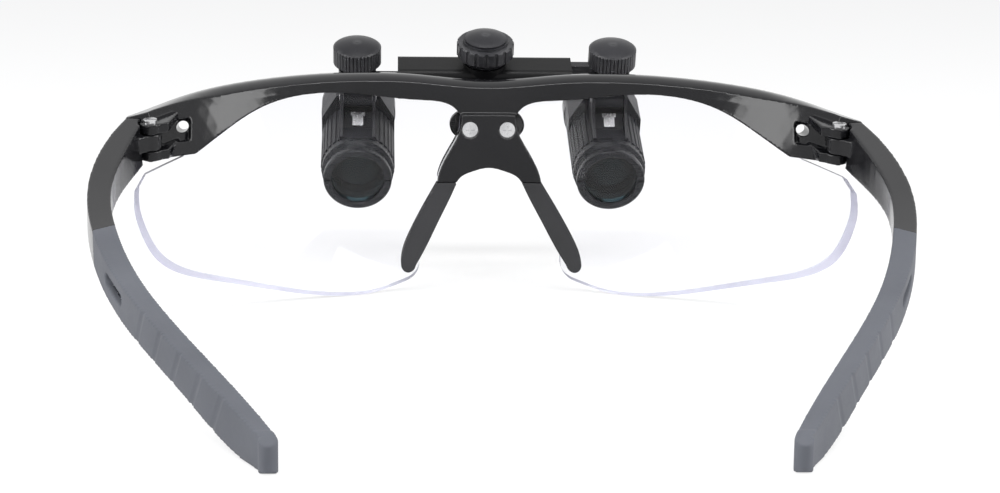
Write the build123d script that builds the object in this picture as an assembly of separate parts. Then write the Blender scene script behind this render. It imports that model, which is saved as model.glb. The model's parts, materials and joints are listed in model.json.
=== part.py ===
"""Flip-up dental loupes on a half-rim sports frame, as separate pieces in their real places.

Millimetres. +X is the wearer's left, -Y is the way the wearer looks, +Z is up, and the lens
bottoms and the temple tips stand on Z = 0. Pieces are built with Y = 0 at the temple hinges,
and moved together at the end so that the origin lies under the middle of the whole object.
"""
from build123d import *
from math import cos, pi, radians, sin, sqrt, tan
import os

# ---- driving dimensions: the front ---------------------------------------------------------
WRAP_BOW = 41.84              # the front's foremost point ahead of its outer corners
WRAP_RISE = 55.0              # centre of the wrap sphere above the table
END_SET = 0.66                # the outer corners ahead of the hinge plane, Y = 0
LENS_THICKNESS = 2.0
FRONT_DEPTH = 5.0             # brow bar, front to back
FRONT_HALF_WIDTH = 71.2       # outer end of the end pieces
DRAWN_HALF_WIDTH = 71.2       # half width that the outlines below are drawn for
BROW_CENTRE_Z = 40.5
BROW_PEAK_X, BROW_PEAK_Z = 30.0, 42.3
BROW_END_Z = 36.9
BAR_HEIGHT = 3.7              # brow bar at its thinnest
END_PIECE_BOTTOM = 29.0
NECK_HALF_WIDTH = 5.6
ARCH_TOP_Z = 23.4             # top of the nose arch
LEG_THICKNESS = 3.4
LEG_INSET = 1.4               # the legs' front face behind the wrap sphere
PAD_TOP_Z = 20.6
PAD_SKIN = 0.8                # rubber behind and beside each leg's prong
JOINT_GAP = 0.15              # half the gap between the front and each temple
GROOVE_CLEARANCE = 0.05

# ---- driving dimensions: the temples -------------------------------------------------------
HINGE_INSET, HINGE_Y, HINGE_Z = 4.9, 0.6, 32.6
HINGE_TILT = 12.0             # hinge axis leans back by this many degrees
HINGE_RADIUS = 2.0
HINGE_PIN_RADIUS = 0.7
KNUCKLE_HEIGHT = 3.2
LUG_HEIGHT = 2.0
HINGE_GAP = 0.1
TEMPLE_END_Y = 122.0
SLEEVE_START_Y = 40.0
CORE_END_Y = 104.0
SLEEVE_WALL = 0.9
STRIP_COVER = 0.2             # plastic over the steel strip inside each temple
STRIP_START_Y, STRIP_END_Y = 22.0, 102.0
SLOT_START_Y, SLOT_LENGTH, SLOT_HEIGHT = 53.0, 11.0, 2.0

# ---- driving dimensions: the flip mount ----------------------------------------------------
PLATE_LENGTH, PLATE_HEIGHT, PLATE_THICKNESS = 15.7, 5.6, 2.6
PLATE_Z = 31.0
PLATE_SET = 0.5               # plate's rear face behind the wrap sphere's foremost point
SCREW_SPACING = 7.7
SCREW_RADIUS, SCREW_HEAD_RADIUS, SCREW_HEAD_HEIGHT = 0.8, 1.6, 0.9
FLIP_REACH, FLIP_Z = 6.9, 36.6
FLIP_KNUCKLE_RADIUS, FLIP_KNUCKLE_WIDTH = 2.3, 7.0
FLIP_PIN_RADIUS, FLIP_EAR_WIDTH, FLIP_WASHER = 0.8, 2.0, 0.3

# ---- driving dimensions: the beam and its adjusters, in the leaning loupe frame ------------
BEAM_REACH, BEAM_Z = 5.6, 42.7    # centre of the beam's top face, ahead of the flip pin
LOUPE_LEAN = 23.5             # the whole loupe leans back by this many degrees
BEAM_LENGTH, BEAM_DEPTH, BEAM_HEIGHT = 37.2, 9.0, 6.2
BEAM_EDGE_RADIUS = 2.0
BEAM_WALL = 0.9
COVER_THICKNESS = 1.0
MODULE, PINION_TEETH = 0.4, 8
TOOTH_SHARE = 0.36            # tooth thickness over pitch, the rest is space and backlash
BAR_TOP, BAR_SECTION_HEIGHT, BAR_SECTION_DEPTH = -1.2, 3.6, 2.1
SLIDE_IN, SLIDE_OUT = 1.0, 8.0
FIT = 0.05                    # radial or side clearance of a running fit
KNOB_RING_RADIUS, KNOB_RING_BOTTOM, KNOB_RING_TOP = 6.1, 2.1, 5.4
KNOB_FLUTES = 18
KNOB_COLLAR_RADIUS = 4.6
KNOB_CAP_RADIUS, KNOB_CAP_TOP = 4.45, 7.2
PUPIL_DISTANCE = 54.6         # between the two telescope axes
CLAMP_KNOB_RADIUS, CLAMP_KNOB_BOTTOM, CLAMP_KNOB_TOP, CLAMP_DOME = 5.1, -0.6, 4.2, 0.9
CLAMP_KNURLS = 40
BOSS_RADIUS, BOSS_BOTTOM = 4.0, -3.8
STUD_RADIUS, STUD_TOP, STUD_BOTTOM = 1.5, 2.6, -6.4

# ---- driving dimensions: arm and telescope -------------------------------------------------
ARM_DISC_BOTTOM = -5.2
TONGUE_HALF_WIDTH, TONGUE_HALF_DEPTH = 3.05, 1.5
TILT_DROP = 8.6               # tilt pin below the beam top
TILT_PIN_RADIUS = 0.8
TONGUE_END_RADIUS = 1.9
PIN_ABOVE_BARREL = 5.2        # tilt pin above the barrel's top
EYEPIECE_BACK = 14.0          # eyepiece face behind the beam's middle
TELESCOPE_LENGTH = 33.0
BARREL_RADIUS, BARREL_WALL = 7.1, 0.9
EYE_RING_PROUD, EYE_NECK_INSET, EYE_COLLAR_PROUD = 0.25, 0.15, 0.65     # from the barrel's radius
EYE_GLASS_INSET, EYE_LIP = 0.1, 0.35
COLLAR_START, COLLAR_END = 3.6, 5.4
GRIP_WALL, GRIP_RIBS = 0.9, 36
GABLE_START, GABLE_END = 18.6, 27.6
GABLE_WALL, GABLE_SHOULDER, GABLE_TOP_HALF_WIDTH, GABLE_RISE = 0.9, 4.5, 4.8, 2.9
CHEEK_GAP, CHEEK_WALL = 0.1, 0.7     # beside the tongue
CHEEK_RISE = 7.0              # top of the cheeks above the barrel's top
FLOOR_RISE = 2.5              # saddle floor above the barrel's top, under the tongue
FLOOR_SLOPE = 34.0            # the floor's fall behind the tongue, in degrees
OBJECTIVE_PROUD, OBJECTIVE_RING_LENGTH, OBJECTIVE_LIP = 1.2, 5.2, 0.4
OBJECTIVE_WALL = 1.0          # ring outside the objective lenses

# ---- values that follow --------------------------------------------------------------------
PITCH_RADIUS = MODULE * PINION_TEETH / 2
TOOTH_PITCH = pi * MODULE
ADDENDUM, DEDENDUM = 0.8 * MODULE, 1.05 * MODULE
FRONT_OUTER = (WRAP_BOW ** 2 + FRONT_HALF_WIDTH ** 2 + (HINGE_Z - WRAP_RISE) ** 2) / (2 * WRAP_BOW)
WRAP_RADIUS = FRONT_OUTER - FRONT_DEPTH / 2      # sphere that the lenses and the front follow
WRAP_BACK = FRONT_OUTER - WRAP_BOW - END_SET     # its centre behind the hinge plane
FRONT_INNER = WRAP_RADIUS - FRONT_DEPTH / 2
LENS_OUTER, LENS_INNER = WRAP_RADIUS + LENS_THICKNESS / 2, WRAP_RADIUS - LENS_THICKNESS / 2
LEG_OUTER = WRAP_RADIUS - LEG_INSET
LEG_INNER = LEG_OUTER - LEG_THICKNESS
HALF_PD = PUPIL_DISTANCE / 2
HINGE_X = FRONT_HALF_WIDTH - HINGE_INSET
PLATE_REAR_Y = WRAP_BACK - WRAP_RADIUS + PLATE_SET
FLIP_Y = PLATE_REAR_Y - FLIP_REACH
BEAM_Y = FLIP_Y - BEAM_REACH
KNUCKLE_HALF = KNUCKLE_HEIGHT / 2
LUG_INNER = KNUCKLE_HALF + HINGE_GAP
LUG_OUTER = LUG_INNER + LUG_HEIGHT
BAR_INNER_FACE = PITCH_RADIUS - ADDENDUM
BAR_OUTER_FACE = BAR_INNER_FACE + BAR_SECTION_DEPTH
BAR_BOTTOM = BAR_TOP - BAR_SECTION_HEIGHT
COVER_TOP = COVER_THICKNESS - BEAM_HEIGHT
BAR_INNER_END = SLIDE_OUT + 2.4
FLIP_EAR_INNER = FLIP_KNUCKLE_WIDTH / 2 + FLIP_WASHER + FIT
BARREL_BORE = BARREL_RADIUS - BARREL_WALL
AXIS_DROP = TILT_DROP + BARREL_RADIUS + PIN_ABOVE_BARREL    # telescope axis below the beam top
EYE_RING_RADIUS = BARREL_RADIUS + EYE_RING_PROUD
EYE_NECK_RADIUS = BARREL_RADIUS - EYE_NECK_INSET
EYE_COLLAR_RADIUS = BARREL_RADIUS + EYE_COLLAR_PROUD
EYE_GLASS_RADIUS = BARREL_BORE - EYE_GLASS_INSET
EYE_LIP_BORE = EYE_GLASS_RADIUS - EYE_LIP
GRIP_RADIUS = BARREL_RADIUS + GRIP_WALL
GABLE_HALF_WIDTH, GABLE_TOP = BARREL_RADIUS + GABLE_WALL, BARREL_RADIUS + GABLE_RISE
CHEEK_HALF_WIDTH = TONGUE_HALF_WIDTH + CHEEK_GAP + CHEEK_WALL
CHEEK_TOP, FLOOR_HEIGHT = BARREL_RADIUS + CHEEK_RISE, BARREL_RADIUS + FLOOR_RISE
OBJECTIVE_RADIUS = BARREL_RADIUS + OBJECTIVE_PROUD
OBJECTIVE_GLASS_RADIUS = OBJECTIVE_RADIUS - OBJECTIVE_WALL
OBJECTIVE_BORE = OBJECTIVE_GLASS_RADIUS - OBJECTIVE_LIP
LOUPE = Location((0, BEAM_Y, BEAM_Z), (-LOUPE_LEAN, 0, 0))
HINGE = Location((HINGE_X, HINGE_Y, HINGE_Z), (-HINGE_TILT, 0, 0))


# ---- helpers -------------------------------------------------------------------------------
def outline(*edges):
    """A face from lines and curves that meet end to end."""
    return make_face([edge for item in edges for edge in item.edges()])


def front_prism(face, back=30.0, front=-60.0):
    """Extrude an X-Z outline along Y, from its back to its front."""
    plane = Plane(origin=(0, back, 0), x_dir=(1, 0, 0), z_dir=(0, -1, 0))
    return extrude(plane * face, back - front)


def shell(outer, inner):
    """The part of a spherical shell about the wrap centre."""
    return Pos(0, WRAP_BACK, WRAP_RISE) * (Sphere(outer) - Sphere(inner))


def wrap_depth(radius, x, z):
    """Y of the wrap sphere of this radius at X and Z."""
    return WRAP_BACK - sqrt(radius ** 2 - x ** 2 - (z - WRAP_RISE) ** 2)


def spread(x):
    """X on the front for an outline point: the part outside the brow's peak follows the width."""
    if x <= BROW_PEAK_X:
        return x
    stretch = (FRONT_HALF_WIDTH - BROW_PEAK_X) / (DRAWN_HALF_WIDTH - BROW_PEAK_X)
    return BROW_PEAK_X + (x - BROW_PEAK_X) * stretch


def turned(*points):
    """Revolve a closed (radius, height) profile about Z."""
    return revolve(Plane.XZ * make_face(Polyline(*points, close=True)), Axis.Z)


def dome_arc(radius, edge, centre):
    """Arc in the (radius, height) plane from a rim to the axis, level at the axis."""
    if abs(edge - centre) < 0.01:
        return Line((radius, edge), (0, centre))
    bend = ((edge - centre) ** 2 + radius ** 2) / (2 * abs(edge - centre))
    fall = bend - sqrt(bend ** 2 - (radius / 2) ** 2)
    middle = centre + (fall if edge > centre else -fall)
    return ThreePointArc((radius, edge), (radius / 2, middle), (0, centre))


def rod(radius, low, high, x=0.0, y=0.0):
    """A plain cylinder along Z."""
    return Pos(x, y, low) * Cylinder(radius, high - low, align=(Align.CENTER, Align.CENTER, Align.MIN))


def block(x0, x1, y0, y1, z0, z1):
    """A box from its corners."""
    return Pos((x0 + x1) / 2, (y0 + y1) / 2, (z0 + z1) / 2) * Box(x1 - x0, y1 - y0, z1 - z0)


def mirrored(shape):
    return mirror(shape, about=Plane.YZ)


# ---- front frame, lenses and nose pads -----------------------------------------------------
def lens_face(grow=0.0):
    """X-Z outline of one lens, with its upper edge hidden in the brow bar."""
    g = grow
    inner_low = Spline((14.4 - g, 5.0), (18.4, 1.5 - g), (27.0, -g), tangents=((0.1, -1), (1, 0)))
    corner, tab_foot, tab_top = spread(68.8) + g, spread(67.6) + g, spread(58.6) + g
    outer_low = Spline((27.0, -g), (spread(41.4), 2.1 - g), (spread(53.2), 5.6 - g), (spread(64.6), 12.0 - g),
                       (spread(67.8) + g, 18.0), (corner, 24.0), tangents=((1, 0), (0, 1)))
    tab = Polyline((corner, 24.0), (tab_foot, 26.3 + g), (spread(60.8) + g, 28.6 + g), (tab_top, 31.8 + g))
    upper = Spline((tab_top, 31.8 + g), (spread(50.0), 37.2 + g), (BROW_PEAK_X, BROW_PEAK_Z - 1.6 + g),
                   (14.0, 38.9 + g), (NECK_HALF_WIDTH + 0.5 - g, 37.4 + g))
    nose = Spline((NECK_HALF_WIDTH + 0.5 - g, 37.4 + g), (NECK_HALF_WIDTH + 0.5 - g, 30.0), (9.2 - g, 20.6),
                  (13.6 - g, 11.5), (14.4 - g, 5.0))
    return outline(inner_low, outer_low, tab, upper, nose)


def lens():
    return front_prism(lens_face()) & shell(LENS_OUTER, LENS_INNER)


def lens_groove():
    """The space of a lens and its clearance, cut out of the front."""
    room = shell(LENS_OUTER + GROOVE_CLEARANCE, LENS_INNER - GROOVE_CLEARANCE)
    return front_prism(lens_face(GROOVE_CLEARANCE)) & room


def brow_face():
    """X-Z outline of the left half of the brow bar and its end piece."""
    top = Spline((0, BROW_CENTRE_Z), (BROW_PEAK_X / 2, BROW_PEAK_Z - 0.6), (BROW_PEAK_X, BROW_PEAK_Z),
                 (spread(48.6), 41.5), (spread(62.0), 39.4), (FRONT_HALF_WIDTH, BROW_END_Z),
                 tangents=((1, 0), (1, -0.2)))
    inner_end = (spread(58.4), END_PIECE_BOTTOM)
    end = Polyline((FRONT_HALF_WIDTH, BROW_END_Z), (FRONT_HALF_WIDTH, END_PIECE_BOTTOM), inner_end)
    low = Spline(inner_end, (spread(54.0), 32.0), (spread(46.7), 36.4),
                 (BROW_PEAK_X, BROW_PEAK_Z - BAR_HEIGHT), (14.6, 36.8), (6.8, 34.9), (NECK_HALF_WIDTH, 33.2))
    close = Polyline((NECK_HALF_WIDTH, 33.2), (0, 33.2), (0, BROW_CENTRE_Z))
    return outline(top, end, low, close)


def neck_face():
    """X-Z outline of the left half of the neck, down to the nose arch."""
    low = PAD_TOP_Z + 0.1
    side = Spline((NECK_HALF_WIDTH, 34.0), (NECK_HALF_WIDTH, 32.4), (8.3, 26.4), (10.7, low))
    arch = Spline((6.6, low), (3.4, ARCH_TOP_Z - 0.7), (0, ARCH_TOP_Z), tangents=((-0.5, 1), (-1, 0)))
    return outline(Line((0, 34.0), (NECK_HALF_WIDTH, 34.0)), side, Line((10.7, low), (6.6, low)),
                   arch, Line((0, ARCH_TOP_Z), (0, 34.0)))


def leg_face(inset=0.0):
    """X-Z outline of one nose leg, from the neck to its tip, or of a slimmer prong inside it."""
    g = inset
    outer = Spline((8.3 - g, 26.4), (10.8 - g, 20.6), (12.9 - g, 17.2), (16.3 - g, 11.4), (18.0 - g, 7.4),
                   (18.2 - g, 5.9 + g))
    tip = ThreePointArc((18.2 - g, 5.9 + g), (17.0, 4.3 + g), (15.2 + g, 5.5 + g))
    inner = Spline((15.2 + g, 5.5 + g), (13.0 + g, 8.9), (10.4 + g, 13.6), (8.3 + g, 17.4), (7.0 + g, 20.0))
    return outline(outer, tip, inner, Polyline((7.0 + g, 20.0), (5.0 + g, 24.0), (8.3 - g, 26.4)))


def pad_box():
    return block(0, 30, -60, 20, -5, PAD_TOP_Z)


def nose_pad():
    skin = front_prism(leg_face()) & shell(LEG_OUTER, LEG_INNER - PAD_SKIN) & pad_box()
    core = front_prism(leg_face(PAD_SKIN - 2 * GROOVE_CLEARANCE))
    return skin - (core & shell(LEG_OUTER + 1, LEG_INNER + PAD_SKIN - GROOVE_CLEARANCE))


def hinge_lugs():
    """Two lugs that hold the hinge pin, joined to the end piece ahead of them."""
    arm = make_face(Polyline((0, HINGE_RADIUS), (-3.4, 0), (-4.8, -7), (0, -7), (1.6, -1.2), close=True))
    upper = rod(HINGE_RADIUS, LUG_INNER, LUG_OUTER) + Pos(0, 0, LUG_INNER) * extrude(arm, LUG_HEIGHT)
    lower = rod(HINGE_RADIUS, -LUG_OUTER, -LUG_INNER) + Pos(0, 0, -LUG_OUTER) * extrude(arm, LUG_HEIGHT)
    return HINGE * (upper + lower)


def end_recess():
    """The pocket behind the end piece, and the small vent at its inner end."""
    inner, outer = HINGE_X - 6.7, HINGE_X - 1.7
    pocket = block(inner, outer, -30, 30, 31.6, 35.8) & shell(LENS_INNER - 0.6, FRONT_INNER - 2)
    return pocket + front_prism(Pos(HINGE_X - 5.3, 34.2) * Circle(1.1))


def front_half():
    """The left half of the front frame, without its lens groove."""
    bar = front_prism(brow_face()) & shell(FRONT_OUTER, FRONT_INNER)
    bar -= block(HINGE_X - 16, HINGE_X + 20, -JOINT_GAP, 60, 0, 60)
    neck = front_prism(neck_face(), front=PLATE_REAR_Y) & shell(FRONT_OUTER, LEG_INNER)
    leg = (front_prism(leg_face()) & shell(LEG_OUTER, LEG_INNER)) - pad_box()
    prong = front_prism(leg_face(PAD_SKIN)) & shell(LEG_OUTER, LEG_INNER + PAD_SKIN)
    sweep_room = HINGE * rod(HINGE_RADIUS + 0.3, -KNUCKLE_HALF - HINGE_GAP, KNUCKLE_HALF + HINGE_GAP)
    return bar - end_recess() - sweep_room + hinge_lugs() + neck + leg + prong


def front_frame():
    half = front_half() - lens_groove() - HINGE * rod(HINGE_PIN_RADIUS, -20, 20)
    whole = half + mirrored(half)
    pad_room = block(-20, 20, -60, PLATE_REAR_Y, 20, 33.9)
    for x in (-SCREW_SPACING / 2, SCREW_SPACING / 2):
        whole -= screw_axis(x) * rod(SCREW_RADIUS + FIT, -1, 20)
        whole -= screw_axis(x) * rod(SCREW_HEAD_RADIUS + FIT, -6, SCREW_HEAD_HEIGHT)
    return whole - pad_room


def hinge_pin():
    """Slotted hinge screw through both lugs and the knuckle."""
    shaft = rod(HINGE_PIN_RADIUS, -LUG_OUTER, LUG_OUTER)
    head = rod(HINGE_PIN_RADIUS + 0.6, LUG_OUTER, LUG_OUTER + 0.6)
    return HINGE * (shaft + head - block(-2, 2, -0.15, 0.15, LUG_OUTER + 0.3, 9))


# ---- temples -------------------------------------------------------------------------------
def temple_plan(inset=0.0):
    """X-Y outline of the left temple, hinge end to tip, or of the slimmer core inside it.

    X is measured from the front's outer end.
    """
    g, end = inset, TEMPLE_END_Y - 4.0
    outer = Spline((-0.1 - g, JOINT_GAP), (3.6 - g, 13.0), (4.2 - g, 26.0), (1.4 - g, 42.0), (-6.9 - g, 67.0),
                   (-19.2 - g, 94.0), (-31.0 - g, end))
    tip = ThreePointArc((-31.0 - g, end), (-32.6, end + 2.0 - g), (-33.7 + g, end))
    inner = Spline((-33.7 + g, end), (-22.9 + g, 94.0), (-10.8 + g, 67.0), (-2.4 + g, 40.0), (g - 0.1, 26.0),
                   (-1.1 + g, 13.0), (-3.8 + g, JOINT_GAP))
    hinge_end = Line((-3.8 + g, JOINT_GAP), (-0.1 - g, JOINT_GAP))
    return Pos(FRONT_HALF_WIDTH, 0) * outline(outer, tip, inner, hinge_end)


def temple_side(inset=0.0):
    """Y-Z outline of a temple, or of the slimmer core inside it."""
    g, end = inset, TEMPLE_END_Y - 6.0
    top = Spline((JOINT_GAP, BROW_END_Z - g), (20.0, 29.3 - g), (42.0, 22.0 - g), (67.0, 16.2 - g),
                 (94.0, 10.4 - g), (end, 5.6 - g))
    back = Spline((end, 5.6 - g), (TEMPLE_END_Y - 1.6 - g, 4.0), (TEMPLE_END_Y - g, 2.2),
                  (TEMPLE_END_Y - 2.0 - g, 0.3 + g), (end, g))
    low = Spline((end, g), (94.0, 4.1 + g), (67.0, 9.9 + g), (42.0, 16.0 + g), (20.0, 23.2 + g),
                 (JOINT_GAP, 28.2 + g), tangents=((-1, 0), (-1, 0.3)))
    return outline(top, back, low, Line((JOINT_GAP, 28.2 + g), (JOINT_GAP, BROW_END_Z - g)))


def side_prism(face):
    """Extrude a Y-Z outline across the left temple."""
    return extrude(Plane(origin=(10, 0, 0), x_dir=(0, 1, 0), z_dir=(1, 0, 0)) * face, 110)


def temple_body(inset=0.0):
    """The temple's outer form, or a slimmer form inside it."""
    return extrude(temple_plan(inset), 60) & side_prism(temple_side(inset))


def y_slab(low, high):
    return block(0, 130, low, high, -10, 70)


def strap_slot():
    """Slot for a retaining strap, through the sleeve and the core."""
    middle_y = SLOT_START_Y + SLOT_LENGTH / 2
    slot = Pos(middle_y, 15.0) * Rot(0, 0, -12) * SlotOverall(SLOT_LENGTH, SLOT_HEIGHT)
    return side_prism(slot)


def temple():
    body = temple_body() & y_slab(0, SLEEVE_START_Y)
    core = temple_body(SLEEVE_WALL) & y_slab(SLEEVE_START_Y - 4, CORE_END_Y)
    reach = make_face(Polyline((0, HINGE_RADIUS), (5.5, 6.0), (5.5, 0.2), (0, 0.2), close=True))
    knuckle = rod(HINGE_RADIUS, -KNUCKLE_HALF, KNUCKLE_HALF)
    knuckle += Pos(0, 0, -KNUCKLE_HALF) * extrude(reach, KNUCKLE_HEIGHT)
    knuckle = (HINGE * knuckle) - y_slab(-20, -2.5)
    lug_room = HINGE * rod(HINGE_RADIUS + 0.3, -12, 12)
    reach_room = block(HINGE_X + 3, HINGE_X + 25, -9, JOINT_GAP, 0, 60)
    whole = (body + core - lug_room) + (knuckle - reach_room)
    whole -= strap_slot() + (temple_body(SLEEVE_WALL + STRIP_COVER) & y_slab(STRIP_START_Y, STRIP_END_Y))
    return whole - HINGE * rod(HINGE_PIN_RADIUS + FIT, -20, 20)


def temple_strip():
    """Bendable steel strip that the temple's rear half is moulded round."""
    strip = temple_body(SLEEVE_WALL + STRIP_COVER) & y_slab(STRIP_START_Y, STRIP_END_Y)
    return strip - strap_slot()


def temple_sleeve():
    body = temple_body() & y_slab(SLEEVE_START_Y, TEMPLE_END_Y + 5)
    core = temple_body(SLEEVE_WALL - FIT) & y_slab(SLEEVE_START_Y - 5, CORE_END_Y + FIT)
    return body - core - strap_slot()


# ---- flip mount ----------------------------------------------------------------------------
def screw_axis(x):
    """Frame of a mount screw: its head's outer end at the neck's rear face, +Z forwards."""
    y = wrap_depth(LEG_INNER, x, PLATE_Z) - 0.3
    return Location((x, y, PLATE_Z), (90, 0, 0))


def mount_screws():
    group = []
    for x in (-SCREW_SPACING / 2, SCREW_SPACING / 2):
        head = rod(SCREW_HEAD_RADIUS, 0, SCREW_HEAD_HEIGHT)
        shaft = rod(SCREW_RADIUS, 0, screw_reach())
        cross = block(-0.9, 0.9, -0.18, 0.18, -1, 0.45) + block(-0.18, 0.18, -0.9, 0.9, -1, 0.45)
        group.append(screw_axis(x) * (head + shaft - cross))
    return group


def screw_reach():
    """Screw length from its head's outer end to just short of the plate's front face."""
    return wrap_depth(LEG_INNER, SCREW_SPACING / 2, PLATE_Z) - 0.3 - PLATE_REAR_Y + PLATE_THICKNESS - 0.3


def mount_bracket():
    """Obround plate on the neck, with the knuckle that the loupe flips on."""
    plate_plane = Plane(origin=(0, PLATE_REAR_Y, PLATE_Z), x_dir=(1, 0, 0), z_dir=(0, -1, 0))
    plate = extrude(plate_plane * SlotOverall(PLATE_LENGTH, PLATE_HEIGHT), PLATE_THICKNESS)
    half = FLIP_KNUCKLE_WIDTH / 2
    knuckle = Location((0, FLIP_Y, FLIP_Z), (0, 90, 0)) * rod(FLIP_KNUCKLE_RADIUS, -half, half)
    front = PLATE_REAR_Y - PLATE_THICKNESS
    web = Polyline((front + 1, PLATE_Z - PLATE_HEIGHT / 2), (front, PLATE_Z - PLATE_HEIGHT / 2),
                   (FLIP_Y - 1.6, FLIP_Z - 1.6), (FLIP_Y, FLIP_Z + FLIP_KNUCKLE_RADIUS),
                   (front + 1, PLATE_Z + PLATE_HEIGHT / 2), close=True)
    web_plane = Plane(origin=(-half, 0, 0), x_dir=(0, 1, 0), z_dir=(1, 0, 0))
    bracket = plate + knuckle + extrude(web_plane * make_face(web), FLIP_KNUCKLE_WIDTH)
    bracket -= Location((0, FLIP_Y, FLIP_Z), (0, 90, 0)) * rod(FLIP_PIN_RADIUS, -20, 20)
    for x in (-SCREW_SPACING / 2, SCREW_SPACING / 2):
        bracket -= screw_axis(x) * rod(SCREW_RADIUS, 0, screw_reach())
    return bracket


def flip_end():
    """Half the span over the two ears that turn on the flip pin."""
    return FLIP_EAR_INNER + FLIP_EAR_WIDTH


def flip_pin():
    along = Location((0, FLIP_Y, FLIP_Z), (0, 90, 0))
    end = flip_end() + 0.1
    pin = rod(FLIP_PIN_RADIUS, -end, end)
    heads = rod(FLIP_PIN_RADIUS + 0.6, end, end + 0.7) + rod(FLIP_PIN_RADIUS + 0.6, -end - 0.7, -end)
    return along * (pin + heads)


def flip_washers():
    along = Location((0, FLIP_Y, FLIP_Z), (0, 90, 0))
    start = FLIP_KNUCKLE_WIDTH / 2
    ring = rod(FLIP_KNUCKLE_RADIUS - 0.3, start, start + FLIP_WASHER) - rod(FLIP_PIN_RADIUS + FIT, 0, 20)
    return [along * ring, mirrored(along * ring)]


# ---- beam: housing, cover, screws (local frame: top face at Z = 0) -------------------------
def flip_axis_local():
    """The flip pin's place (Y, Z) in the leaning loupe frame."""
    dy, dz = FLIP_Y - BEAM_Y, FLIP_Z - BEAM_Z
    lean = radians(LOUPE_LEAN)
    return dy * cos(lean) - dz * sin(lean), dy * sin(lean) + dz * cos(lean)


def cover_screw_places():
    x = BEAM_LENGTH / 2 - 3.0
    y = -(BAR_INNER_FACE + BAR_SECTION_DEPTH / 2)
    return [(x, y), (-x, -y)]


def beam_housing():
    half_x, half_y = BEAM_LENGTH / 2, BEAM_DEPTH / 2
    body = block(-half_x, half_x, -half_y, half_y, -BEAM_HEIGHT, 0)
    top_edges = body.edges().filter_by(Axis.X).group_by(Axis.Z)[-1]
    body = fillet(top_edges, BEAM_EDGE_RADIUS)
    body += rod(KNOB_COLLAR_RADIUS, -1, 0.6)
    inner_y = BAR_OUTER_FACE + FIT
    cavity = block(-half_x + BEAM_WALL, half_x - BEAM_WALL, -inner_y, inner_y, -9, BAR_TOP + FIT)
    window = block(0, 30, BAR_INNER_FACE - FIT, inner_y, BAR_BOTTOM - FIT, BAR_TOP + FIT)
    body -= cavity + window + Rot(0, 0, 180) * window
    for x, y in cover_screw_places():
        body += rod(1.15, COVER_TOP, BAR_TOP + 0.5, x, y) - rod(0.6, COVER_TOP, BAR_TOP - 0.6, x, y)
    ear_y, ear_z = flip_axis_local()
    for side in (-1, 1):
        x0, x1 = sorted((side * FLIP_EAR_INNER, side * flip_end()))
        reach = Polyline((half_y - 0.5, -1.8), (ear_y, ear_z + FLIP_KNUCKLE_RADIUS),
                         (ear_y, ear_z - FLIP_KNUCKLE_RADIUS), (half_y - 0.5, -BEAM_HEIGHT + 0.2), close=True)
        plane = Plane(origin=(x0, 0, 0), x_dir=(0, 1, 0), z_dir=(1, 0, 0))
        ear = extrude(plane * make_face(reach), x1 - x0)
        ear += Location((x0, ear_y, ear_z), (0, 90, 0)) * rod(FLIP_KNUCKLE_RADIUS, 0, x1 - x0)
        body += ear
    body -= Location((0, ear_y, ear_z), (0, 90, 0)) * rod(FLIP_PIN_RADIUS + FIT, -20, 20)
    return body - rod(shaft_radius() + FIT, -9, 9)


def beam_cover():
    half_x = BEAM_LENGTH / 2 - BEAM_WALL - FIT
    half_y = BAR_OUTER_FACE
    plate = block(-half_x, half_x, -half_y, half_y, -BEAM_HEIGHT, COVER_TOP)
    plate -= rod(shaft_radius() * 0.6 + FIT, -9, 9)
    for x, y in cover_screw_places():
        plate -= rod(0.6 + FIT, -9, 0, x, y) + rod(1.1 + FIT, -9, COVER_TOP - 0.5, x, y)
    return plate


def beam_cover_screws():
    group = []
    for x, y in cover_screw_places():
        screw = rod(1.1, -BEAM_HEIGHT, COVER_TOP - 0.5, x, y) + rod(0.6, -BEAM_HEIGHT, BAR_TOP - 0.7, x, y)
        group.append(screw - block(x - 2, x + 2, y - 0.15, y + 0.15, -9, -BEAM_HEIGHT + 0.25))
    return group


# ---- pupil distance drive ------------------------------------------------------------------
def shaft_radius():
    return PITCH_RADIUS - DEDENDUM


def pd_pinion_shaft():
    """Pinion with a journal in the housing top, a pivot in the cover and a square for the knob."""
    root, tip = shaft_radius(), PITCH_RADIUS + ADDENDUM
    half_root, half_tip = TOOTH_SHARE * TOOTH_PITCH * 0.62, TOOTH_SHARE * TOOTH_PITCH * 0.26
    tooth = make_face(Polyline((-half_root, 0), (-half_root, root), (-half_tip, tip), (half_tip, tip),
                               (half_root, root), (half_root, 0), close=True))
    profile = Circle(root)
    for index in range(PINION_TEETH):
        profile += Rot(0, 0, 360 / PINION_TEETH * index) * tooth
    gear = Pos(0, 0, BAR_BOTTOM) * extrude(profile, BAR_SECTION_HEIGHT - FIT)
    pivot = rod(root * 0.6, COVER_TOP - 0.8, BAR_BOTTOM) + rod(root, BAR_TOP - FIT, KNOB_RING_BOTTOM + 1.0)
    half = root * 0.7
    square = block(-half, half, -half, half, KNOB_RING_BOTTOM + 1.0, KNOB_RING_TOP - 1.0)
    return gear + pivot + square


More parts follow.
